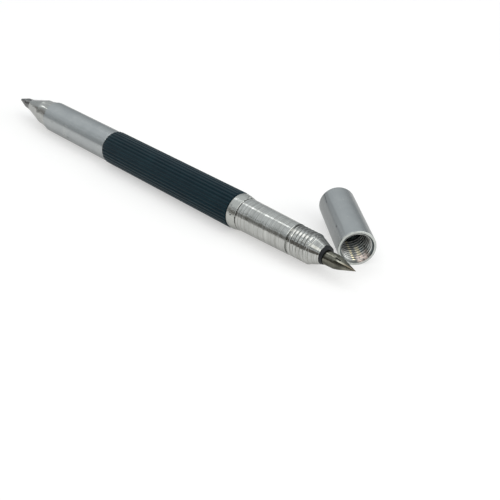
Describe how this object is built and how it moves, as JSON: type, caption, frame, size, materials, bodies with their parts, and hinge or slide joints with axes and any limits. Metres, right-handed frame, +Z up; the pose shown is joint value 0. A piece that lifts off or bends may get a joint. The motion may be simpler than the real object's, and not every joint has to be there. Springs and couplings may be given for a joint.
{
  "type": "double-ended center punch and scriber",
  "caption": "Slim metal marking pen with a ribbed grip, a long ground scribing point in a threaded nose, a blunter punch point at the other end, and a loose screw cap.",
  "frame": {"origin": "on the surface that the pen and its cap lie on, under the middle of the bounding box of both", "axes": "+X along the pen towards the threaded front nose and its tip; +Y towards the side where the cap lies; +Z up"},
  "size_m": [0.1748, 0.0374, 0.012],
  "materials": {
    "satin_aluminium": "satin anodised",
    "turned_aluminium": "bright, with fine turning lines",
    "grip_plastic": "dark blue-green, satin, ribbed",
    "black_plastic": "matte black",
    "hard_metal": "dark ground hard metal"
  },
  "bodies": {
    "pen": {"barrel_tube": "satin_aluminium", "front_ferrule": "satin_aluminium", "grip_sleeve": "grip_plastic", "front_nose": "turned_aluminium", "front_tip_bush": "black_plastic", "front_tip": "hard_metal", "rear_nose": "turned_aluminium", "rear_tip": "hard_metal"},
    "cap": {"cap": "satin_aluminium"}
  },
  "joints": [
    {"name": "cap_slide", "type": "slide", "parent": "pen", "child": "cap", "axis": [-0.7976, 0.6032, 0], "range_m": [0, 0.045]}
  ]
}
